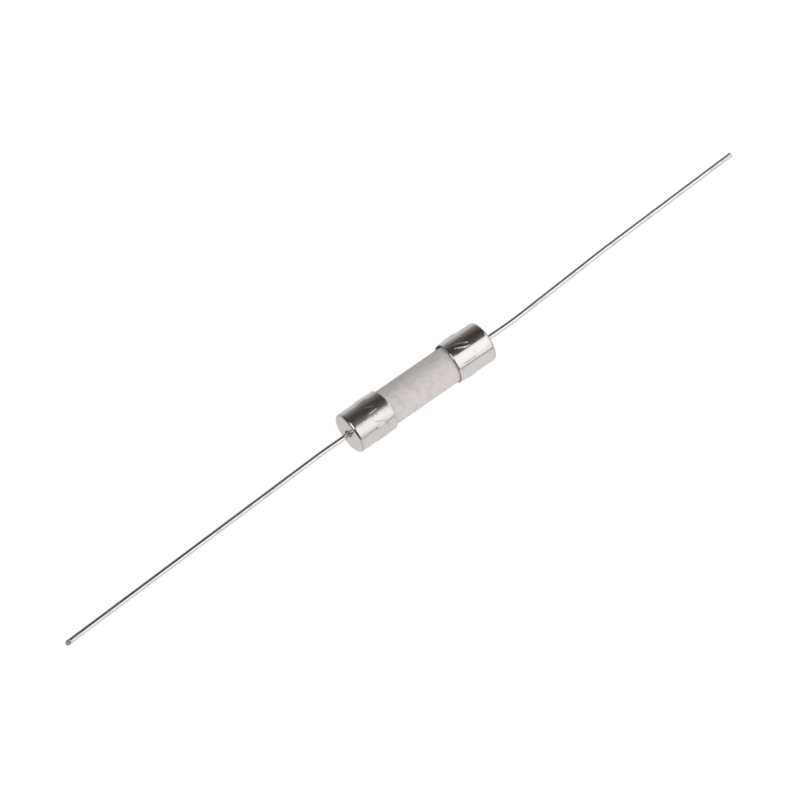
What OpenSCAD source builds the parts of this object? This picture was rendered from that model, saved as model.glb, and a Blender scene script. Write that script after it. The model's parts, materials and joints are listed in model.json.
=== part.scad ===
// Ceramic cartridge fuse with a wire lead welded to each end cap.
// The fuse lies along X, with its centre at the origin. The left end is the one towards -X.

/* [Ceramic tube] */
// Length of the ceramic tube
tube_len = 19.35; // [17:0.05:24]
// Outside diameter of the ceramic tube
tube_d = 4.52; // [4.2:0.01:5]
// Wall of the ceramic tube
tube_wall = 0.8; // [0.5:0.05:1]
// Chamfer round the outside of each end of the tube
tube_chamfer = 0.12; // [0.05:0.01:0.25]

/* [End caps] */
// Length of each end cap, from its flat end to its open rim
cap_len = 5.35; // [4:0.05:6.5]
// Wall of each end cap
cap_wall = 0.2; // [0.15:0.01:0.3]
// Gap all round between the tube and the inside of a cap
cap_play = 0.14; // [0.03:0.01:0.2]
// Outside radius between a cap's flat end and its side
cap_edge_r = 0.36; // [0.22:0.01:0.5]
// Rounding of the outer edge of a cap's open rim
rim_r = 0.06; // [0.02:0.01:0.07]
// How far the inside of a cap's open rim is opened out, to lead the tube in
mouth_bevel = 0.07; // [0.02:0.01:0.08]
// Depth of the opened-out part of a cap's mouth
mouth_depth = 0.35; // [0.1:0.05:0.6]

/* [Solder] */
// Depth of solder between a cap's floor and the end of the tube
solder_bed = 0.25; // [0.1:0.05:0.6]
// Height of the solder inside the end of the tube's bore
solder_rise = 0.6; // [0.4:0.1:2]

/* [Fuse element] */
// Diameter of the fuse wire
element_d = 0.2; // [0.05:0.01:0.4]
// Distance from the axis at which the fuse wire reaches the ends of the tube
element_offset = 1; // [0:0.1:1.2]
// Depth of each end of the fuse wire in the solder
element_seat = 0.5; // [0.2:0.1:0.6]

/* [Leads] */
// Diameter of the lead wire
lead_d = 0.63; // [0.4:0.01:1]
// Length of the left lead along its centre line
left_lead_len = 41; // [30:0.05:60]
// Length of the right lead along its centre line
right_lead_len = 40.7; // [30:0.05:60]
// How far to the side of a cap's centre its lead is welded
lead_offset = 0.06; // [0:0.01:0.3]
// Radius of the bends in the leads, to the centre line
lead_bend_r = 40; // [5:1:80]
// Straight length of the left lead before its bend
left_root_run = 3; // [1:0.1:10]
// Angle of the left lead's bend
left_bend = 2.2; // [-5:0.1:5]
// Straight length of the right lead before its first bend
right_root_run = 3.4; // [1:0.1:10]
// Angle of the right lead's first bend
right_bend = 3.5; // [-5:0.1:5]
// Straight length of the right lead between its two bends
right_middle_run = 13.3; // [5:0.1:18]
// Angle of the right lead's second bend
right_counter_bend = -1.2; // [-5:0.1:5]
// Slant of the cut at the left lead's tip
left_snip = 36; // [0:1:60]
// How far that cut faces round from the top towards the side
left_snip_turn = 18; // [-90:1:90]
// Slant of the cut at the right lead's tip
right_snip = 10; // [0:1:60]

/* [Welds] */
// Diameter of the weld bead where a lead meets its cap
weld_d = 0.95; // [0.75:0.05:1.6]
// Height of the weld bead along the lead
weld_h = 0.32; // [0.2:0.02:0.8]
// Rounding of the weld bead's outer edge
weld_round = 0.14; // [0.05:0.01:0.15]

/* [Hidden] */
$fn = 64;
cap_in_r = tube_d / 2 + cap_play;
cap_r = cap_in_r + cap_wall;
cap_corner_r = max(cap_edge_r - cap_wall, 0.02);
bore_r = tube_d / 2 - tube_wall;
body_len = tube_len + 2 * (solder_bed + cap_wall);
fill_len = tube_len - 2 * solder_rise;
element_slope = atan(2 * element_offset / tube_len);
element_len = (fill_len + 2 * element_seat) / cos(element_slope);

// Turns a shape that stands on Z so that it lies along X, with its top towards +X
module lie_along_x() rotate([0, 90, 0]) children();

// Places a shape that is made at the right end of the fuse at the left end
module at_left_end() rotate([0, 0, 180]) children();

// Moves a shape by a whole number of tenths and then by the fine rest, so that two runs meet exactly
module move_finely(v) {
    coarse = [for (x = v) round(10 * x) / 10];
    translate(coarse) translate(v - coarse) children();
}

// The corner of a half section that a round edge of radius r leaves out
module corner_waste(r) difference() {
    square(r);
    circle(r);
}

// Half section of a round bar that stands on the X axis, with its bottom edge rounded
module bar_section(r, h, edge) difference() {
    square([r, h]);
    translate([r - edge, edge]) mirror([0, 1]) corner_waste(edge);
}

// Half section of a cap that stands on its flat end, with its rim upwards
module cap_section() difference() {
    bar_section(cap_r, cap_len, cap_edge_r);
    translate([0, cap_wall]) bar_section(cap_in_r, cap_len, cap_corner_r);
    translate([cap_r - rim_r, cap_len - rim_r]) corner_waste(rim_r);
    translate([cap_in_r, cap_len])
        polygon([[0, -mouth_depth], [mouth_bevel, 0], [mouth_bevel, rim_r], [0, rim_r]]);
}

// Half section of the solder in a cap: a bed under the tube's end, and a plug up its bore
module solder_section() {
    bar_section(cap_in_r, solder_bed, cap_corner_r);
    square([bore_r, solder_bed + solder_rise]);
}

// Half section of the tube, with its outer edges chamfered
module tube_section() {
    outer = tube_d / 2;
    end = tube_len / 2;
    polygon([
        [bore_r, -end], [outer - tube_chamfer, -end], [outer, tube_chamfer - end],
        [outer, end - tube_chamfer], [outer - tube_chamfer, end], [bore_r, end]
    ]);
}

// Half section of the weld bead, which stands round the foot of the lead
module weld_section() difference() {
    translate([lead_d / 2, 0]) square([(weld_d - lead_d) / 2, weld_h]);
    translate([weld_d / 2 - weld_round, weld_h - weld_round]) corner_waste(weld_round);
}

module end_cap() color("gainsboro")
    translate([body_len / 2, 0, 0]) mirror([1, 0, 0]) lie_along_x()
        rotate_extrude() cap_section();

module solder_pool() translate([body_len / 2 - cap_wall, 0, 0]) mirror([1, 0, 0]) lie_along_x()
    rotate_extrude() solder_section();

// Places the foot of a wire on the right cap, to the side of its centre that side gives
module on_cap(side) translate([body_len / 2, side * lead_offset, 0]) children();

module weld_bead(side) color("dimgray")
    on_cap(side) lie_along_x() rotate_extrude() weld_section();

// The fuse wire runs straight through the bore, from high on the left to low on the right
module element_wire() rotate([0, element_slope, 0]) lie_along_x()
    cylinder(d = element_d, h = element_len, center = true);

function arc_len(turn) = lead_bend_r * abs(turn) * PI / 180;

// Where a bend that starts at the origin along X ends
function bend_end(turn) =
    [lead_bend_r * sin(abs(turn)), sign(turn) * lead_bend_r * (1 - cos(turn)), 0];

// One bend of a lead, to the left if turn is positive and to the right if it is negative
module bend(turn) if (turn != 0)
    mirror([0, turn < 0 ? 1 : 0, 0]) translate([0, lead_bend_r, 0]) rotate([0, 0, -90])
        rotate_extrude(angle = abs(turn), $fn = 360) translate([lead_bend_r, 0]) circle(d = lead_d);

// The last straight run, with a slanting cut that faces up, or that many degrees round from the top
module snipped_run(run, snip, snip_turn) difference() {
    lie_along_x() cylinder(d = lead_d, h = run + lead_d * tan(snip));
    translate([run, 0, 0]) rotate([-snip_turn, 0, 0]) rotate([0, -snip, 0])
        translate([0, -lead_d, -2 * lead_d]) cube([4 * lead_d, 2 * lead_d, 4 * lead_d]);
}

// A wire that starts at the origin along X, with a bend after each run but the last
module bent_wire(runs, turns, snip, snip_turn, i = 0) {
    if (i < len(turns)) {
        lie_along_x() cylinder(d = lead_d, h = runs[i]);
        translate([runs[i], 0, 0]) {
            bend(turns[i]);
            move_finely(bend_end(turns[i])) rotate([0, 0, turns[i]])
                bent_wire(runs, turns, snip, snip_turn, i + 1);
        }
    } else snipped_run(runs[i], snip, snip_turn);
}

module lead(side, length, runs, turns, snip, snip_turn = 0) color("silver") {
    used = [for (run = runs) run, for (turn = turns) arc_len(turn)] * [for (i = [1:2 * len(runs)]) 1];
    on_cap(side) bent_wire([each runs, length - used], turns, snip, snip_turn);
}

module ceramic_tube() color("linen") lie_along_x() rotate_extrude() tube_section();

module fuse_element() color("burlywood") element_wire();

module quartz_fill() color("wheat") difference() {
    lie_along_x() cylinder(r = bore_r, h = fill_len, center = true);
    element_wire();
}

module right_end_cap() end_cap();
module left_end_cap() at_left_end() end_cap();
module right_solder_pool() color("darkgray") difference() {
    solder_pool();
    element_wire();
}
module left_solder_pool() color("darkgray") difference() {
    at_left_end() solder_pool();
    element_wire();
}
module right_weld_bead() weld_bead(-1);
module left_weld_bead() at_left_end() weld_bead(1);
module right_lead() lead(
    -1, right_lead_len, [right_root_run, right_middle_run], [right_bend, right_counter_bend], right_snip
);
module left_lead() at_left_end()
    lead(1, left_lead_len, [left_root_run], [left_bend], left_snip, left_snip_turn);

ceramic_tube();
left_end_cap();
right_end_cap();
left_lead();
right_lead();
left_weld_bead();
right_weld_bead();
fuse_element();
quartz_fill();
left_solder_pool();
right_solder_pool();
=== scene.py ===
"""A ceramic cartridge fuse with a long wire lead on each end, lying on a white table."""

import json
import math

import bmesh
import bpy
from mathutils import Euler, Matrix, Vector, noise


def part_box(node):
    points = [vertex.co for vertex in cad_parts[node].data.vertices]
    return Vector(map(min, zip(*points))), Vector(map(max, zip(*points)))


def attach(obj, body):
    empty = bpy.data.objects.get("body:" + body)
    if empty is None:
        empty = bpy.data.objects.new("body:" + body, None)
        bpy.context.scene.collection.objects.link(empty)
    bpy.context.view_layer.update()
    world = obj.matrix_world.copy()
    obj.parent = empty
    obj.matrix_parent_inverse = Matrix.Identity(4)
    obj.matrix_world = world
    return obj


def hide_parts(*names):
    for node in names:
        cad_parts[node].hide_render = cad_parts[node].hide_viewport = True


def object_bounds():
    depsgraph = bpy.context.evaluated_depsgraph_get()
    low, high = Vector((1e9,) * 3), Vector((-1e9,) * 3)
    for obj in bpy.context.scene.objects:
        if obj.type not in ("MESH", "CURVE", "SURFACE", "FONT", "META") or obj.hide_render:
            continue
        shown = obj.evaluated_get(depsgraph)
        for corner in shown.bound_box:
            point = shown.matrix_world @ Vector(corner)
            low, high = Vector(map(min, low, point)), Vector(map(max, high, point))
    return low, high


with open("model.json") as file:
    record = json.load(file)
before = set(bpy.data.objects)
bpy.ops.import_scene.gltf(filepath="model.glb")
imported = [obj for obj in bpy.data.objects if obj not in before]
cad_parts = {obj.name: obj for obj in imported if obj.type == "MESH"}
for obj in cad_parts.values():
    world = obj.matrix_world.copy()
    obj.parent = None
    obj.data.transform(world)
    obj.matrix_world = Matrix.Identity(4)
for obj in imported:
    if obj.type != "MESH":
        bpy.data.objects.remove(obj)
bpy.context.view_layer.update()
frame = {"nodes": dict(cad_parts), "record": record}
MM = 0.001


# The camera stands over the left end of the fuse and looks down on it, so that the wires run
# from corner to corner of the picture. Its long lens leaves little perspective.
CAMERA_TURN = math.radians(-38.91)
CAMERA_RISE = math.radians(58.94)
CAMERA_DISTANCE = 361.1 * MM
CAMERA_LENS = 139.4
CAMERA_SENSOR = 36
NEAREST_SEEN = 10 * MM
FARTHEST_SEEN = 20
FUSE_RIGHT_OF_MIDDLE = 1.927 * MM
FUSE_ABOVE_MIDDLE = 1.508 * MM

to_right = Vector((math.cos(CAMERA_TURN), math.sin(CAMERA_TURN), 0))
to_camera = Vector((math.sin(CAMERA_TURN) * math.cos(CAMERA_RISE),
                    -math.cos(CAMERA_TURN) * math.cos(CAMERA_RISE),
                    math.sin(CAMERA_RISE)))
to_top = to_camera.cross(to_right)

camera = bpy.data.objects.new("camera", bpy.data.cameras.new("camera"))
camera.data.sensor_width = CAMERA_SENSOR
camera.data.lens = CAMERA_LENS
camera.data.clip_start = NEAREST_SEEN
camera.data.clip_end = FARTHEST_SEEN
camera.matrix_world = Matrix((to_right, to_top, to_camera)).transposed().to_4x4()
camera.location = (to_camera * CAMERA_DISTANCE - to_right * FUSE_RIGHT_OF_MIDDLE
                   - to_top * FUSE_ABOVE_MIDDLE)
bpy.context.scene.collection.objects.link(camera)
bpy.context.scene.camera = camera


# The body is a tube of white electrical ceramic, pressed from powder, fired and left unglazed.
# It is matt and slightly beige, with cloudy patches, small pits, a fine grain and a few dark
# specks, and the caps have rubbed a little grey onto it where they were pressed on.
TUBE_BORE_RADIUS = 1.46 * MM
TUBE_CHAMFER = 0.12 * MM
TUBE_COLUMNS = 300
TUBE_ROWS = 160
TUBE_SWELL = 0.015 * MM
TUBE_WAVE_SIZE = 1.1 * MM
TUBE_WAVE = 0.006 * MM
PIT_SIZE = 0.16 * MM
PIT_FROM = 0.3
PIT_DEPTH = 0.012 * MM

CERAMIC = (0.655, 0.592, 0.61)
CERAMIC_ROUGHNESS = 0.62
CLOUD_PATTERN = {"size": 0.75 * MM, "detail": 5}
WARM_PATTERN = {"size": 1.7 * MM, "detail": 1, "stretch": (1.6, 1, 1)}
RUB_PATTERN = {"size": 0.25 * MM, "detail": 3, "stretch": (5, 1, 1)}
SPECK_PATTERN = {"size": 0.16 * MM, "detail": 1}
GRAIN_PATTERN = {"size": 0.14 * MM, "detail": 4}
CLOUD_STAIN = {"stain": (0.56, 0.51, 0.52), "start": 0.42, "end": 0.72}
WARM_STAIN = {"stain": (0.665, 0.59, 0.602), "start": 0.5, "end": 0.75, "most": 0.8}
RUB_STAIN = {"stain": (0.42, 0.41, 0.405), "start": 0.64, "end": 0.78, "most": 0.55}
SPECK_STAIN = {"stain": (0.33, 0.31, 0.29), "start": 0.74, "end": 0.8, "most": 0.7}
CERAMIC_ROUGH_CLOUDS = {"start": 0.3, "end": 0.7, "first": 0.55, "last": 0.72}
GRAIN_DEPTH = 0.034 * MM
CLOUD_DEPTH = 0.14 * MM

# The Mix node's colour sockets, which share their names with its sockets for plain numbers.
MIX_UNDER, MIX_OVER, MIXED = 6, 7, 2


def new_finish(name, colour, roughness, metal=0.0, edge_tint=(1, 1, 1)):
    """A material with plain values, of which some may be varied later. The edge tint is the share
    of the light that a metal mirrors at a glancing angle."""
    finish = bpy.data.materials.new(name)
    finish.use_nodes = True
    surface = finish.node_tree.nodes["Principled BSDF"]
    surface.inputs["Base Color"].default_value = (*colour, 1)
    surface.inputs["Roughness"].default_value = roughness
    surface.inputs["Metallic"].default_value = metal
    surface.inputs["Specular Tint"].default_value = (*edge_tint, 1)
    return finish


def vary(finish, socket, value):
    """Lets a pattern give a material's socket another value at each place."""
    surface = finish.node_tree.nodes["Principled BSDF"]
    finish.node_tree.links.new(value, surface.inputs[socket])


def clouds(finish, size, detail, stretch=(1, 1, 1)):
    """A pattern of patches of that size in metres; stretch draws them out along X, Y or Z."""
    tree = finish.node_tree
    place = tree.nodes.new("ShaderNodeTexCoord")
    scaled = tree.nodes.new("ShaderNodeMapping")
    scaled.inputs["Scale"].default_value = [1 / (size * longer) for longer in stretch]
    tree.links.new(place.outputs["Object"], scaled.inputs["Vector"])
    pattern = tree.nodes.new("ShaderNodeTexNoise")
    pattern.inputs["Scale"].default_value = 1
    pattern.inputs["Detail"].default_value = detail
    tree.links.new(scaled.outputs["Vector"], pattern.inputs["Vector"])
    return pattern.outputs["Fac"]


def graded(finish, value, start, end, first, last):
    """Turns a pattern's value into a number that goes from first, at start, to last, at end."""
    tree = finish.node_tree
    grade = tree.nodes.new("ShaderNodeMapRange")
    grade.interpolation_type = "SMOOTHSTEP"
    for socket, number in zip(("From Min", "From Max", "To Min", "To Max"),
                              (start, end, first, last)):
        grade.inputs[socket].default_value = number
    tree.links.new(value, grade.inputs["Value"])
    return grade.outputs["Result"]


def covered(finish, share, under, stain):
    """The colour under, or the colour from another node, with a stain over it where share is 1."""
    tree = finish.node_tree
    mix = tree.nodes.new("ShaderNodeMix")
    mix.data_type = "RGBA"
    tree.links.new(share, mix.inputs["Factor"])
    if isinstance(under, bpy.types.NodeSocket):
        tree.links.new(under, mix.inputs[MIX_UNDER])
    else:
        mix.inputs[MIX_UNDER].default_value = (*under, 1)
    mix.inputs[MIX_OVER].default_value = (*stain, 1)
    return mix.outputs[MIXED]


def stained(finish, pattern, under, stain, start, end, most=1):
    """The colour under, with a stain that sets in where the pattern passes start and is at its
    most from end on."""
    return covered(finish, graded(finish, pattern, start, end, 0, most), under, stain)


def raised(finish, height, depth, below=None):
    """Bumps of that depth in metres, laid over those of the normal below."""
    tree = finish.node_tree
    bump = tree.nodes.new("ShaderNodeBump")
    bump.inputs["Strength"].default_value = 1
    bump.inputs["Distance"].default_value = depth
    tree.links.new(height, bump.inputs["Height"])
    if below:
        tree.links.new(below, bump.inputs["Normal"])
    vary(finish, "Normal", bump.outputs["Normal"])
    return bump.outputs["Normal"]


def arc(centre, radius, start, end, steps):
    """Points (x, distance from the axis) on an arc, from start to end in degrees from +X."""
    turns = [math.radians(start + (end - start) * i / steps) for i in range(steps + 1)]
    return [(centre[0] + radius * math.cos(a), centre[1] + radius * math.sin(a)) for a in turns]


def straight(start, end, steps):
    """Points from start to just before end."""
    return [(start[0] + (end[0] - start[0]) * i / steps, start[1] + (end[1] - start[1]) * i / steps)
            for i in range(steps)]


def finished_mesh(name, skin):
    """Makes a smooth piece of a bmesh, with its faces turned outwards."""
    bmesh.ops.recalc_face_normals(skin, faces=skin.faces)
    for polygon in skin.faces:
        polygon.smooth = True
    piece = bpy.data.objects.new(name, bpy.data.meshes.new(name))
    skin.to_mesh(piece.data)
    skin.free()
    bpy.context.scene.collection.objects.link(piece)
    return piece


def lathe(name, outline, columns, rise, closed=False):
    """A skin turned about the X axis. The angle goes from the top down the camera's side, and
    rise(x, angle, radius) is added to the distance from the axis. Each point off the axis keeps
    how far along the outline it lies."""
    skin = bmesh.new()
    along = skin.verts.layers.float.new("along_outline")
    rings = []
    travelled = 0
    for i, (x, radius) in enumerate(outline):
        travelled += math.dist(outline[i], outline[max(0, i - 1)])
        if radius == 0:
            rings.append([skin.verts.new((x, 0, 0))] * columns)
            continue
        ring = []
        for column in range(columns):
            angle = 2 * math.pi * column / columns
            out = radius + rise(x, angle, radius)
            point = skin.verts.new((x, -out * math.sin(angle), out * math.cos(angle)))
            point[along] = travelled
            ring.append(point)
        rings.append(ring)
    for ring, after in zip(rings, rings[1:] + (rings[:1] if closed else [])):
        for column in range(columns):
            corners = (ring[column], ring[column - 1], after[column - 1], after[column])
            apart = dict.fromkeys(corners)
            skin.faces.new(list(apart))
    return finished_mesh(name, skin)


tube_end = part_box("ceramic_tube")[1].x
tube_radius = -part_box("ceramic_tube")[0].z
outer_end, outer_side = tube_end - TUBE_CHAMFER, tube_radius - TUBE_CHAMFER


def fired(x, angle, radius):
    """The slight swell, waves and small pits that firing left on the outside of the tube."""
    if radius < tube_radius:
        return 0
    place = Vector((x, radius * math.sin(angle), radius * math.cos(angle)))
    pit = max(0, noise.noise(place / PIT_SIZE) - PIT_FROM) / (1 - PIT_FROM)
    return TUBE_SWELL + noise.noise(place / TUBE_WAVE_SIZE) * TUBE_WAVE - pit * PIT_DEPTH


tube_outline = straight((-outer_end, tube_radius), (outer_end, tube_radius), TUBE_ROWS)
tube_outline += [(outer_end, tube_radius), (tube_end, outer_side),
                 (tube_end, TUBE_BORE_RADIUS), (-tube_end, TUBE_BORE_RADIUS),
                 (-tube_end, outer_side)]
tube = lathe("ceramic_body", tube_outline, TUBE_COLUMNS, fired, closed=True)

ceramic = new_finish("white_ceramic", CERAMIC, CERAMIC_ROUGHNESS)
cloudy = clouds(ceramic, **CLOUD_PATTERN)
colour = stained(ceramic, cloudy, CERAMIC, **CLOUD_STAIN)
colour = stained(ceramic, clouds(ceramic, **WARM_PATTERN), colour, **WARM_STAIN)
colour = stained(ceramic, clouds(ceramic, **RUB_PATTERN), colour, **RUB_STAIN)
colour = stained(ceramic, clouds(ceramic, **SPECK_PATTERN), colour, **SPECK_STAIN)
vary(ceramic, "Base Color", colour)
vary(ceramic, "Roughness", graded(ceramic, cloudy, **CERAMIC_ROUGH_CLOUDS))
grain = raised(ceramic, clouds(ceramic, **GRAIN_PATTERN), GRAIN_DEPTH)
raised(ceramic, cloudy, CLOUD_DEPTH, below=grain)

tube.data.materials.append(ceramic)
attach(tube, "root")
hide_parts("ceramic_tube")


# Inside the tube, out of sight, the fine fuse wire runs through packed quartz sand from one
# pool of solder to the other. The solder also holds the caps.
INNER_FINISHES = {
    "fuse_wire": {"shade": (0.8, 0.79, 0.76), "roughness": 0.25, "metal": 1, "grain": 0.04 * MM},
    "quartz_sand": {"shade": (0.78, 0.74, 0.66), "roughness": 0.8, "metal": 0, "grain": 0.15 * MM},
    "solder": {"shade": (0.58, 0.58, 0.6), "roughness": 0.35, "metal": 1, "grain": 0.3 * MM},
}
INNER_DETAIL = 3
INNER_DARKER = 0.75
INNER_STAIN_FROM = 0.4
INNER_STAIN_TO = 0.7
INNER_DEPTH_SHARE = 1 / 20

for slot, inner in INNER_FINISHES.items():
    finish = new_finish(slot, inner["shade"], inner["roughness"], inner["metal"])
    texture = clouds(finish, inner["grain"], INNER_DETAIL)
    darker = tuple(INNER_DARKER * part for part in inner["shade"])
    vary(finish, "Base Color",
         stained(finish, texture, inner["shade"], darker, INNER_STAIN_FROM, INNER_STAIN_TO))
    raised(finish, texture, inner["grain"] * INNER_DEPTH_SHARE)
    for subpart in frame["record"]["subparts"]:
        if subpart["material_slot"] == slot:
            node = frame["nodes"][subpart["node"]]
            node.material_slots[0].material = finish


# Each end cap is a cup drawn from thin brass sheet, plated with nickel and pressed onto the
# tube over molten solder, not quite straight. Its closed end has a rounded edge, its mouth is
# opened out and trimmed unevenly, and a row of plain raised marks is rolled into its side.
CAP_WALL = 0.2 * MM
CAP_EDGE = 0.36 * MM
CAP_INNER_EDGE = CAP_EDGE - CAP_WALL
CAP_MOUTH_BEVEL = 0.03 * MM
CAP_MOUTH_DEPTH = 0.35 * MM
CAP_FLARE = 0.012 * MM
CAP_FLARE_LENGTH = 0.7 * MM
LIP_LENGTH = 0.15 * MM
LIP_DROP = 0.06 * MM
DENT_SIZE = 1.6 * MM
DENT_DEPTH = 0.004 * MM
TRIM_REACH = 1.6 * MM

# Angles round a cap are in degrees, from the top down the camera's side.
FAR_DIP_ANGLE = -45
FAR_DIP_SPREAD = 35
NEAR_DIP_ANGLE = 100
NEAR_DIP_SPREAD = 38

# A mark is a fine ridge on a broad low swell.
MARK_STROKE = 0.05 * MM
MARK_SWELL = 0.2 * MM
MARK_SWELL_RISE = 0.006 * MM
MARK_BAND_HALF = 1.15 * MM
SLASH_SLANT = 0.4
SLASHES_APART = 1 / 3
SLASHES_BREADTH = 1.4
DOTS_APART = 1 / 2

CAP_COLUMNS = 600
FACE_ROWS = 6
EDGE_ROWS = 16
SIDE_ROWS = 8
MARK_BAND_ROWS = 90
LIP_ROWS = 12
MOUTH_ROWS = 3
INSIDE_ROWS = 6
INNER_EDGE_ROWS = 4

mouth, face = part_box("right_end_cap")[0].x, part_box("right_end_cap")[1].x
cap_radius = -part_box("right_end_cap")[0].z
cap_inside = cap_radius - CAP_WALL
side_start = face - CAP_EDGE
face_edge = cap_radius - CAP_EDGE


def bar(along, around, length, slant=0.0):
    """Distance from a short bar that runs along the cap, leaning by its slant."""
    nearest = max(-length / 2, min(length / 2, along))
    return math.hypot(along - nearest, around - nearest * slant)


def slash(along, around, length):
    """Distance from a leaning bar."""
    return bar(along, around, length, slant=SLASH_SLANT)


def slashes(along, around, length):
    """Distance from two leaning bars side by side, made less so that they come out broader."""
    aside = length * SLASHES_APART / 2
    return min(slash(along, around - aside, length),
               slash(along, around + aside, length)) / SLASHES_BREADTH


def dots(along, around, length):
    """Distance from two round dots, one after the other along the cap."""
    return math.hypot(abs(along) - length * DOTS_APART / 2, around)


def gap(along, around, length):
    """Stands for the distance from a mark where there is none."""
    return length


# What sets one cap apart from the other, with places along a cap counted from its mouth. The
# left cap is rougher, and its colour is a little darker: painted shade. It leans about its
# mouth, and the right one about a place just beyond its closed end.
CAPS = {
    "left": {"marks": [slash, dots, bar] * 8, "marks_middle": 2.1 * MM, "marks_turned": 4,
             "mark_length": 0.9 * MM, "mark_rise": 0.019 * MM, "slimmer": 0.04 * MM,
             "bulge": 0.06 * MM, "bulge_angle": 65, "bulge_middle": 1.85 * MM,
             "bulge_half": 0.95 * MM,
             "far_dip": 0.08 * MM, "near_dip": 0.1 * MM, "longer": 0.07 * MM,
             "shade": (0.605, 0.58, 0.57), "roughness": 0.2,
             "pivot": 0.0, "pitch": -0.97, "yaw": -0.29, "shift": -0.03 * MM},
    "right": {"marks": [slashes, gap, bar, dots, gap, slash, dots, bar] * 2,
              "marks_middle": 1.8 * MM, "marks_turned": 2,
              "mark_length": 1.6 * MM, "mark_rise": 0.05 * MM, "slimmer": 0.02 * MM,
              "bulge": 0.015 * MM, "bulge_angle": -65, "bulge_middle": 1.6 * MM,
              "bulge_half": 0.7 * MM,
              "far_dip": 0.24 * MM, "near_dip": 0.03 * MM, "longer": 0.0,
              "shade": (0.63, 0.605, 0.595), "roughness": 0.11,
              "pivot": face - mouth + 0.4 * MM, "pitch": 0.34, "yaw": -0.73, "shift": 0.0},
}


def rolled(values):
    """How far a cap stands out at each place: its mouth, slight dents, a bulge and its marks."""
    marks = values["marks"]
    pitch = 2 * math.pi / len(marks)

    def rise(x, angle, radius):
        place = Vector((x, radius * math.sin(angle), radius * math.cos(angle)))
        out = noise.noise(place / DENT_SIZE) * DENT_DEPTH - values["slimmer"]
        out += CAP_FLARE * max(0, 1 - (x - mouth) / CAP_FLARE_LENGTH) ** 2
        out += (values["bulge"] * math.cos(angle - math.radians(values["bulge_angle"])) ** 2
                * math.exp(-((x - mouth - values["bulge_middle"]) / values["bulge_half"]) ** 2))
        along = x - mouth - values["marks_middle"]
        if abs(along) < MARK_BAND_HALF and radius > cap_inside:
            turned = angle - math.radians(values["marks_turned"])
            number = round(turned / pitch)
            around = (turned - number * pitch) * radius
            away = marks[number % len(marks)](along, around, values["mark_length"])
            out += values["mark_rise"] * math.exp(-(away / MARK_STROKE) ** 2)
            out += MARK_SWELL_RISE * math.exp(-(away / MARK_SWELL) ** 2)
        return out

    return rise


def cap_outside(marks_middle):
    """Half the outside of a cap, from the middle of its face, with fine steps at its marks."""
    band_low = mouth + marks_middle - MARK_BAND_HALF
    band_high = mouth + marks_middle + MARK_BAND_HALF
    outline = straight((face, 0), (face, face_edge), FACE_ROWS)
    outline += arc((side_start, face_edge), CAP_EDGE, 0, 90, EDGE_ROWS)
    outline += straight((side_start, cap_radius), (band_high, cap_radius), SIDE_ROWS)[1:]
    outline += straight((band_high, cap_radius), (band_low, cap_radius), MARK_BAND_ROWS)
    outline += straight((band_low, cap_radius), (mouth + LIP_LENGTH, cap_radius), SIDE_ROWS)
    for row in range(LIP_ROWS + 1):
        turn = math.pi / 2 * row / LIP_ROWS
        outline.append((mouth + LIP_LENGTH * (1 - math.sin(turn)),
                        cap_radius - LIP_DROP * (1 - math.cos(turn))))
    return outline


def cap_inner_side():
    """Half the cut edge and the inside of a cap."""
    outline = straight((mouth, cap_inside + CAP_MOUTH_BEVEL),
                       (mouth + CAP_MOUTH_DEPTH, cap_inside), MOUTH_ROWS)
    outline += straight((mouth + CAP_MOUTH_DEPTH, cap_inside), (side_start, cap_inside),
                        INSIDE_ROWS)
    outline += arc((side_start, cap_inside - CAP_INNER_EDGE), CAP_INNER_EDGE, 90, 0,
                   INNER_EDGE_ROWS)
    return outline + [(side_start + CAP_INNER_EDGE, 0)]


def trim(cap, values):
    """Cuts a cap's mouth back in two shallow dips, one high on the far side and one low down on
    the camera's side."""
    outward = 1 if cap.data.vertices[0].co.x > 0 else -1
    for point in cap.data.vertices:
        angle = math.degrees(math.atan2(-point.co.y, point.co.z))
        cut = values["far_dip"] * math.exp(-((angle - FAR_DIP_ANGLE) / FAR_DIP_SPREAD) ** 2)
        cut += values["near_dip"] * math.exp(-((angle - NEAR_DIP_ANGLE) / NEAR_DIP_SPREAD) ** 2)
        share = max(0, 1 - (outward * point.co.x - mouth) / TRIM_REACH)
        point.co.x += outward * (cut - values["longer"]) * share


METAL_EDGE_TINT = (0.85, 0.85, 0.85)
SMEAR_PATTERN = {"size": 0.8 * MM, "detail": 4}
SMEAR_STAIN = {"start": 0.5, "end": 0.75, "most": 0.7}
ROUGH_SMEARS = {"start": 0.35, "end": 0.7}

# Smears have these shares of a cap's own shade and roughness.
SMEAR_SHADE = 0.86
LEAST_ROUGH = 0.85
MOST_ROUGH = 1.25

RIPPLE_PATTERN = {"size": 0.35 * MM, "detail": 2}
RIPPLE_DEPTH = 0.002 * MM
DRAWN_LINES = {"size": 0.03 * MM, "detail": 2, "stretch": (60, 1, 1)}
DRAWN_LINE_DEPTH = 0.0003 * MM
# Painted shade round the edge of the closed end, standing in for darker reflections there.
EDGE_SHADE_COLOUR = (0.3, 0.29, 0.28)
EDGE_SHADE_FROM = face_edge + 0.22 * MM
EDGE_SHADE_TO = face_edge + 0.62 * MM
EDGE_FADE = 0.12 * MM
EDGE_SHADE_MOST = 0.4
FACE_ROUGHNESS = 0.24
# The nickel is painted dark from near the end of the lip on, over the cut edge and the inside:
# painted shade inside the cap.
INSIDE_SHADE = (0.12, 0.11, 0.1)
INSIDE_SHADE_OUTSIDE = 0.07 * MM
INSIDE_SHADE_FADE = 0.04 * MM

outside = cap_outside(marks_middle=0)
inside_shade_from = sum(math.dist(a, b) for a, b in zip(outside, outside[1:])) - INSIDE_SHADE_OUTSIDE


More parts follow.
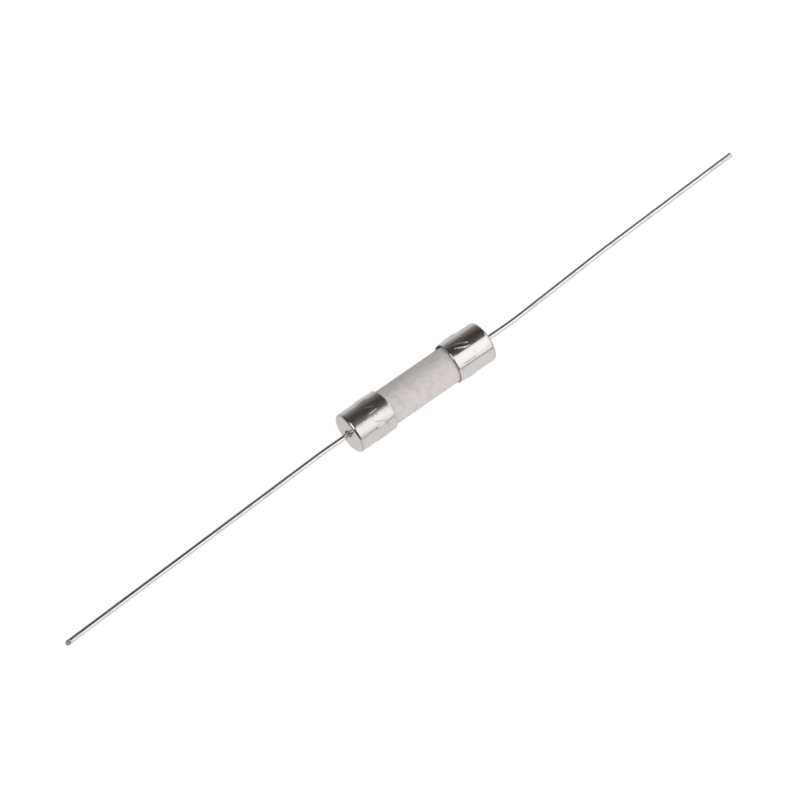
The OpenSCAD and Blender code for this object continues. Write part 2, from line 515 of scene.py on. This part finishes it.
def worked_out(tree, operation, first, second):
    """The product of two values, or the larger of the two, as the operation says."""
    result = tree.nodes.new("ShaderNodeMath")
    result.operation = operation
    tree.links.new(first, result.inputs[0])
    tree.links.new(second, result.inputs[1])
    return result.outputs[0]


def nickel_finish(name, shade, roughness):
    """Nickel plate with faint smears, ripples and lines from drawing, with painted shade round the
    edge of the closed end, standing in for darker reflections, and duller on its face. From near
    the end of the lip on, the cut edge and the inside are painted dark as painted shade."""
    nickel = new_finish(name, shade, roughness, metal=1, edge_tint=METAL_EDGE_TINT)
    tree = nickel.node_tree
    smears = clouds(nickel, **SMEAR_PATTERN)
    travelled = tree.nodes.new("ShaderNodeAttribute")
    travelled.attribute_name = "along_outline"
    along = travelled.outputs["Fac"]

    smeared = tuple(SMEAR_SHADE * part for part in shade)
    colour = stained(nickel, smears, shade, smeared, **SMEAR_STAIN)
    # Painted shade round the edge of the closed end.
    setting_in = graded(nickel, along, EDGE_SHADE_FROM, EDGE_SHADE_FROM + EDGE_FADE, 0, 1)
    fading_out = graded(nickel, along, EDGE_SHADE_TO - EDGE_FADE, EDGE_SHADE_TO, EDGE_SHADE_MOST, 0)
    painted_edge_shade = worked_out(tree, "MULTIPLY", setting_in, fading_out)
    colour = covered(nickel, painted_edge_shade, colour, EDGE_SHADE_COLOUR)
    # Painted shade on the end of the lip, the cut edge and the inside.
    colour = stained(nickel, along, colour, INSIDE_SHADE, inside_shade_from, inside_shade_from + INSIDE_SHADE_FADE)
    vary(nickel, "Base Color", colour)

    rough_side = graded(nickel, smears, **ROUGH_SMEARS,
                        first=LEAST_ROUGH * roughness, last=MOST_ROUGH * roughness)
    rough_face = graded(nickel, along, face_edge - EDGE_FADE, face_edge, FACE_ROUGHNESS, 0)
    vary(nickel, "Roughness", worked_out(tree, "MAXIMUM", rough_side, rough_face))
    ripples = raised(nickel, clouds(nickel, **RIPPLE_PATTERN), RIPPLE_DEPTH)
    raised(nickel, clouds(nickel, **DRAWN_LINES), DRAWN_LINE_DEPTH, below=ripples)
    return nickel


for end, values in CAPS.items():
    cap = lathe(f"{end}_cap_shell", cap_outside(values["marks_middle"]) + cap_inner_side(),
                CAP_COLUMNS, rolled(values))
    cap.data.materials.append(
        nickel_finish(f"{end}_nickel_plate", values["shade"], values["roughness"]))
    pivot = mouth + values["pivot"]
    if end == "left":
        cap.data.transform(Matrix.Rotation(math.pi, 4, "Z"))
        pivot = -pivot
    trim(cap, values)
    lean = Euler((0, math.radians(values["pitch"]), math.radians(values["yaw"])))
    about = Matrix.Translation((pivot, 0, 0))
    cap.data.transform(Matrix.Translation((values["shift"], 0, 0))
                       @ about @ lean.to_matrix().to_4x4() @ about.inverted())
    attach(cap, "root")
    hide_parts(f"{end}_end_cap")


# The leads are soft copper wire, tinned and cut to length with side cutters, which left dull
# slanting ends. The wire is bright and has fine lines along it from the drawing die.
LEAD_SIDES = 48
LEAD_STEP = 0.35 * MM
LEAD_ROOT = 0.1 * MM
CUTS = {"left": {"slant": math.radians(40), "facing": math.radians(18)},
        "right": {"slant": math.radians(10), "facing": 0.0}}

TIN = (0.68, 0.665, 0.65)
TIN_ROUGHNESS = 0.2
DULL_SPOTS = {"size": 0.7 * MM, "detail": 4, "stretch": (3, 1, 1)}
TIN_STAIN = {"stain": (0.5, 0.49, 0.475), "start": 0.48, "end": 0.7, "most": 0.8}
TIN_ROUGH_SPOTS = {"start": 0.35, "end": 0.7, "first": 0.14, "last": 0.3}
DIE_LINES = {"size": 0.05 * MM, "detail": 3, "stretch": (40, 1, 1)}
DIE_LINE_DEPTH = 0.0015 * MM

CUT_METAL = (0.6, 0.585, 0.57)
CUT_ROUGHNESS = 0.45
SCORES = {"size": 0.04 * MM, "detail": 3, "stretch": (1, 6, 1)}
SCORE_STAIN = {"stain": (0.36, 0.35, 0.34), "start": 0.4, "end": 0.65}
SCORE_DEPTH = 0.01 * MM

# The rings from a cut's rim to its middle: the share of the wire's radius, and how far the ring
# stays behind the slanting plane. The first still lies on the wire's side.
CUT_RINGS = ((1, 0.1 * MM), (0.99, 0.03 * MM), (0.92, 0.0), (0.75, -0.01 * MM),
             (0.5, -0.02 * MM), (0.25, -0.025 * MM))
TINNED_CUT_RINGS = 1

tin = new_finish("tinned_wire", TIN, TIN_ROUGHNESS, metal=1, edge_tint=METAL_EDGE_TINT)
dull_spots = clouds(tin, **DULL_SPOTS)
vary(tin, "Base Color", stained(tin, dull_spots, TIN, **TIN_STAIN))
vary(tin, "Roughness", graded(tin, dull_spots, **TIN_ROUGH_SPOTS))
raised(tin, clouds(tin, **DIE_LINES), DIE_LINE_DEPTH)

sheared = new_finish("sheared_metal", CUT_METAL, CUT_ROUGHNESS, metal=1)
scores = clouds(sheared, **SCORES)
vary(sheared, "Base Color", stained(sheared, scores, CUT_METAL, **SCORE_STAIN))
raised(sheared, scores, SCORE_DEPTH)


def lead_middle(node, x):
    """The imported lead's middle, level with the fuse's axis, at that distance along the fuse."""
    low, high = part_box(node.name)
    near_side = node.ray_cast(Vector((x, low.y - MM, 0)), Vector((0, 1, 0)))[1]
    far_side = node.ray_cast(Vector((x, high.y + MM, 0)), Vector((0, -1, 0)))[1]
    return (near_side + far_side) / 2


def wire_ring(skin, middle, way, radius, held_back):
    """A ring of points round the wire. At across and up from the middle, held_back(across, up)
    says how far a point stays behind."""
    side = Vector((-way.y, way.x, 0))
    ring = []
    for i in range(LEAD_SIDES):
        angle = 2 * math.pi * i / LEAD_SIDES
        across, up = radius * math.cos(angle), radius * math.sin(angle)
        place = middle + side * across + Vector((0, 0, up)) - way * held_back(across, up)
        ring.append(skin.verts.new(place))
    return ring


for end, outward in (("left", -1), ("right", 1)):
    node = frame["nodes"][f"{end}_lead"]
    low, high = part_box(node.name)
    lead_radius = high.z
    slope = math.tan(CUTS[end]["slant"])
    upward, sideways = math.cos(CUTS[end]["facing"]), math.sin(CUTS[end]["facing"])
    tip = high.x if outward > 0 else -low.x
    run = tip - 2 * lead_radius * slope - LEAD_STEP - face
    steps = round(run / LEAD_STEP)
    middles = [lead_middle(node, outward * (face + run * (i + 0.5) / steps)) for i in range(steps)]
    ways = [(after - before).normalized() for before, after in zip(middles, middles[2:])]
    ways = ways[:1] + ways + ways[-1:]
    root = middles[0] - ways[0] * (abs(middles[0].x) - face + LEAD_ROOT)
    tip_middle = middles[-1] + ways[-1] * (tip - abs(middles[-1].x)) / abs(ways[-1].x)

    skin = bmesh.new()
    rings = [wire_ring(skin, middle, way, lead_radius, lambda across, up: 0)
             for middle, way in zip([root] + middles, ways[:1] + ways)]
    tinned_rings = len(rings) + TINNED_CUT_RINGS
    for share, behind in CUT_RINGS:
        rings.append(wire_ring(
            skin, tip_middle, ways[-1], share * lead_radius,
            lambda across, up: (up * upward + across * sideways + lead_radius) * slope + behind))
    for count, (before, after) in enumerate(zip(rings, rings[1:]), 1):
        for i in range(LEAD_SIDES):
            quad = skin.faces.new((before[i], before[i - 1], after[i - 1], after[i]))
            quad.material_index = 1 if count >= tinned_rings else 0
    skin.faces.new(rings[-1]).material_index = 1
    skin.faces.new(rings[0])

    lead = finished_mesh(f"{end}_lead_wire", skin)
    lead.data.materials.append(tin)
    lead.data.materials.append(sheared)
    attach(lead, "root")
    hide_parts(f"{end}_lead")


# Where a wire is welded to a cap, the metal has run out into a rough collar round its foot,
# oxidised to a mottled dark grey, with a small spur on its upper side.
WELD_COLUMNS = 128
WELD_ROWS = 20
WELD_INNER = 0.9
WELD_LUMP = 0.12 * MM
WELD_LUMP_RISE = 0.055 * MM
WELD_TOP_LUMPS = 0.3
LUMP_FADE, LUMP_FINER, LUMP_LAYERS = 1, 2, 3
WELD_SPUR_ANGLE = math.radians(-65)
WELD_SPUR_SPREAD = math.radians(16)
WELD_LOW_SIDE = 0.04 * MM
WELDS = {"left": {"seed": 0.0, "spur": 0.12 * MM}, "right": {"seed": 0.02, "spur": 0.05 * MM}}

WELD_BRIGHT = (0.72, 0.7, 0.68)
WELD_ROUGHNESS = 0.35
SCALE_PATTERN = {"size": 0.16 * MM, "detail": 4}
SCALE_STAIN = {"stain": (0.28, 0.27, 0.26), "start": 0.44, "end": 0.56}
SCALE_ROUGH = {"start": 0.35, "end": 0.65, "first": 0.22, "last": 0.6}
CRUST_PATTERN = {"size": 0.05 * MM, "detail": 3}
CRUST_DEPTH = 0.015 * MM

weld = new_finish("weld_metal", WELD_BRIGHT, WELD_ROUGHNESS, metal=1)
scale = clouds(weld, **SCALE_PATTERN)
vary(weld, "Base Color", stained(weld, scale, WELD_BRIGHT, **SCALE_STAIN))
vary(weld, "Roughness", graded(weld, scale, **SCALE_ROUGH))
raised(weld, clouds(weld, **CRUST_PATTERN), CRUST_DEPTH)

foot, weld_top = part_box("right_weld_bead")[0].x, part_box("right_weld_bead")[1].x
weld_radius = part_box("right_weld_bead")[1].z
inner_radius = WELD_INNER * lead_radius
weld_turns = [math.pi / 2 * i / WELD_ROWS for i in range(WELD_ROWS + 1)]
weld_outline = [(foot + (weld_top - foot) * math.sin(turn),
                 inner_radius + (weld_radius - inner_radius) * math.cos(turn))
                for turn in weld_turns]


def lumpy(seed, spur):
    """How far the collar stands out at each place: lumps, a lower side and the spur."""
    def rise(x, angle, radius):
        place = Vector((x + seed, radius * math.sin(angle), radius * math.cos(angle)))
        lump = noise.fractal(place / WELD_LUMP, LUMP_FADE, LUMP_FINER, LUMP_LAYERS) * WELD_LUMP_RISE
        off = math.remainder(angle - WELD_SPUR_ANGLE, 2 * math.pi)
        low = 1 - (x - foot) / (weld_top - foot)
        out = lump * (WELD_TOP_LUMPS + (1 - WELD_TOP_LUMPS) * low)
        out -= WELD_LOW_SIDE * (1 - math.cos(off)) * low
        return out + spur * math.exp(-(off / WELD_SPUR_SPREAD) ** 2) * low

    return rise


for end, values in WELDS.items():
    collar = lathe(f"{end}_weld_collar", weld_outline, WELD_COLUMNS, lumpy(**values))
    if end == "left":
        collar.data.transform(Matrix.Diagonal((-1, 1, 1, 1)))
        collar.data.flip_normals()
    low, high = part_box(f"{end}_weld_bead")
    collar.data.transform(Matrix.Translation((0, (low.y + high.y) / 2, 0)))
    collar.data.materials.append(weld)
    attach(collar, "root")
    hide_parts(f"{end}_weld_bead")


# The fuse lies on a white table in a darkened room, under one big soft lamp that hangs over the
# camera's side. The camera and the metal see the table white, apart from the fuse's shadow.
TABLE_HALF = 2.0
TABLE_SQUARES = 8
TABLE_WHITE = (0.92, 0.92, 0.92, 1)
TABLE_BACKLIGHT = 0.13
TABLE_GLOW = 0.955
TABLE_SHADE = (0.08, 0.08, 0.08, 1)
BACKDROP = (1, 1, 1, 1)
AMBIENT = 0.45
AMBIENT_TINT = (0.98, 1.04, 0.965, 1)
LAMP_SIZE = 1.1
LAMP_RADIANCE = 1.55
LAMP_DISTANCE = 0.9
LAMP_WAY = Vector((0.32, -0.68, 0.66)).normalized()


def cleared(owner, output):
    """The emptied node tree of a material or of the world, and the place for its shader."""
    owner.use_nodes = True
    owner.node_tree.nodes.clear()
    return owner.node_tree, owner.node_tree.nodes.new(output).inputs["Surface"]


def shader(tree, kind, **values):
    """A shader with those values on its sockets."""
    node = tree.nodes.new(kind)
    for socket, value in values.items():
        node.inputs[socket].default_value = value
    return node.outputs[0]


def both(tree, first, second):
    """The light of two shaders, added up."""
    added = tree.nodes.new("ShaderNodeAddShader")
    tree.links.new(first, added.inputs[0])
    tree.links.new(second, added.inputs[1])
    return added.outputs[0]


def seen_or_lit(tree, seen, lit):
    """Shows seen to the camera, to metal and through glass, and lit to everything else."""
    ray = tree.nodes.new("ShaderNodeLightPath").outputs
    either = worked_out(tree, "MAXIMUM", ray["Is Camera Ray"], ray["Is Glossy Ray"])
    any_of = worked_out(tree, "MAXIMUM", either, ray["Is Transmission Ray"])
    mix = tree.nodes.new("ShaderNodeMixShader")
    for place, link in enumerate((any_of, lit, seen)):
        tree.links.new(link, mix.inputs[place])
    return mix.outputs[0]


table_finish = bpy.data.materials.new("table")
tree, output = cleared(table_finish, "ShaderNodeOutputMaterial")
seen = both(tree, shader(tree, "ShaderNodeEmission", Strength=TABLE_GLOW),
            shader(tree, "ShaderNodeBsdfDiffuse", Color=TABLE_SHADE))
lit = both(tree, shader(tree, "ShaderNodeBsdfDiffuse", Color=TABLE_WHITE),
           shader(tree, "ShaderNodeEmission", Strength=TABLE_BACKLIGHT))
tree.links.new(seen_or_lit(tree, seen, lit), output)

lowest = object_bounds()[0].z
skin = bmesh.new()
bmesh.ops.create_grid(skin, x_segments=TABLE_SQUARES, y_segments=TABLE_SQUARES, size=TABLE_HALF,
                      matrix=Matrix.Translation((0, 0, lowest)))
table = finished_mesh("table", skin)
table.data.materials.append(table_finish)

world = bpy.data.worlds.new("room")
bpy.context.scene.world = world
tree, output = cleared(world, "ShaderNodeOutputWorld")
backdrop = shader(tree, "ShaderNodeBackground", Color=BACKDROP, Strength=1)
ambient = shader(tree, "ShaderNodeBackground", Color=AMBIENT_TINT, Strength=AMBIENT)
tree.links.new(seen_or_lit(tree, backdrop, ambient), output)

lamp = bpy.data.objects.new("soft_lamp", bpy.data.lights.new("soft_lamp", "AREA"))
lamp.data.shape = "SQUARE"
lamp.data.size = LAMP_SIZE
lamp.data.energy = math.pi * LAMP_RADIANCE * LAMP_SIZE ** 2
lamp.location = LAMP_WAY * LAMP_DISTANCE
lamp.rotation_mode = "QUATERNION"
lamp.rotation_quaternion = LAMP_WAY.to_track_quat("Z", "Y")
lamp.visible_glossy = False
bpy.context.scene.collection.objects.link(lamp)


# What the metal mirrors is set up as cards that only reflections show: the dark room, lighter
# low down, a long white sheet that leans over from the right, a smaller sheet over the left end,
# and a grey sheet on the table beyond the fuse, a painted shade of the table there.
TURN_STEP = 10
ROOM_RADIUS = 1.6
ROOM_TURN_POWER = 3

# A card is warm where it is as dark as the room, and white where it is lighter than WHITE_FROM.
ROOM_DARK = 0.07
ROOM_TINT = Vector((1, 0.85, 0.75))
WHITE_FROM = 0.375
WHITE = Vector((1, 1, 1))

# The room's rise in degrees, its light beyond the fuse, and its light behind the camera.
ROOM_GLOW = ((-1, 0.67, 0.9), (2.2, 0.6, 0.85), (3.2, 0.56, 0.07), (5, 0.5, 0.07),
             (12, 0.36, 0.07), (23, 0.23, 0.07), (35, 0.15, 0.07), (46, 0.085, 0.07),
             (60, 0.07, 0.07), (90, 0.07, 0.07))

# The long sheet's folds: how far right of the fuse and above it, and the light.
SHEET = ((0.1, 1.0, 0.075), (0.33, 1.0, 0.14), (0.425, 1.0, 0.19), (0.43, 1.0, 1.43),
         (0.63, 0.73, 1.52), (0.765, 0.55, 1.47), (0.93, 0.33, 1.27), (1.1, 0.127, 1.12))
SHEET_NEAR = -0.82
SHEET_FAR = 0.7

# The smaller sheet's corners: how far right of the fuse, beyond it and above it.
SECOND_SHEET = ((-0.41, -0.77, 0.71), (-0.83, -0.25, 0.71), (0.15, -0.25, 1.085),
                (-0.2, 0.21, 1.085))
SECOND_SHEET_LIGHT = 2.4

# The grey sheet, painted shade of the table beyond the fuse: its distance from the fuse in
# millimetres, and the light.
PAINTED_SHADE_SHEET = ((9, 0.95), (13, 0.94), (18, 0.88), (30, 0.8), (66, 0.74), (300, 0.64))
PAINTED_SHADE_SHEET_TURNS = range(-125, 46, TURN_STEP)
PAINTED_SHADE_SHEET_LIFT = 0.05 * MM

card_finish = bpy.data.materials.new("card")
tree, output = cleared(card_finish, "ShaderNodeOutputMaterial")
brightness = tree.nodes.new("ShaderNodeAttribute")
brightness.attribute_name = "bright"
shining = tree.nodes.new("ShaderNodeEmission")
tree.links.new(brightness.outputs["Color"], shining.inputs["Color"])
tree.links.new(shining.outputs[0], output)


def card(name, rows):
    """A sheet that only reflections show. A row is a line of corners, each with how far it is to
    the right, beyond and above the fuse as the camera looks, and how bright it is there."""
    beyond = Vector((-to_right.y, to_right.x, 0))
    skin = bmesh.new()
    bright = skin.verts.layers.float_color.new("bright")
    lines = []
    for row in rows:
        line = []
        for right, away, up, light in row:
            corner = skin.verts.new(to_right * right + beyond * away + Vector((0, 0, up)))
            share = min(1, max(0, (light - ROOM_DARK) / (WHITE_FROM - ROOM_DARK)))
            corner[bright] = (*(ROOM_TINT.lerp(WHITE, share) * light), 1)
            line.append(corner)
        lines.append(line)
    for line, after in zip(lines, lines[1:]):
        for i in range(len(line) - 1):
            skin.faces.new((line[i], line[i + 1], after[i + 1], after[i]))
    sheet = finished_mesh(name, skin)
    sheet.data.materials.append(card_finish)
    sheet.visible_camera = False
    sheet.visible_diffuse = False
    sheet.visible_shadow = False
    sheet.visible_transmission = False


def place_at(turn, rise, distance):
    """A place at that turn clockwise from the way the camera looks and that rise, in degrees."""
    level = distance * math.cos(math.radians(rise))
    return (level * math.sin(math.radians(turn)), level * math.cos(math.radians(turn)),
            distance * math.sin(math.radians(rise)))


def room_light(turn, beyond, behind):
    """Goes over from the light beyond the fuse to the light behind the camera."""
    share = (0.5 + 0.5 * math.cos(math.radians(turn))) ** ROOM_TURN_POWER
    return behind + (beyond - behind) * share


card("dark_room", [[(*place_at(turn, rise, ROOM_RADIUS), room_light(turn, beyond, behind))
                    for turn in range(0, 361, TURN_STEP)] for rise, beyond, behind in ROOM_GLOW])
card("lamp_sheet", [[(right, away, up, light) for away in (SHEET_NEAR, SHEET_FAR)]
                    for right, up, light in SHEET])
near_left, near_right, far_left, far_right = [
    (*corner, SECOND_SHEET_LIGHT) for corner in SECOND_SHEET]
card("second_sheet", [[near_left, near_right], [far_left, far_right]])
# Painted shade of the table beyond the fuse, as the metal mirrors it.
card("painted_shade_sheet", [[(*place_at(turn, 0, distance * MM)[:2], lowest + PAINTED_SHADE_SHEET_LIFT, light)
                     for turn in PAINTED_SHADE_SHEET_TURNS] for distance, light in PAINTED_SHADE_SHEET])

bpy.context.scene.view_settings.view_transform = "Standard"
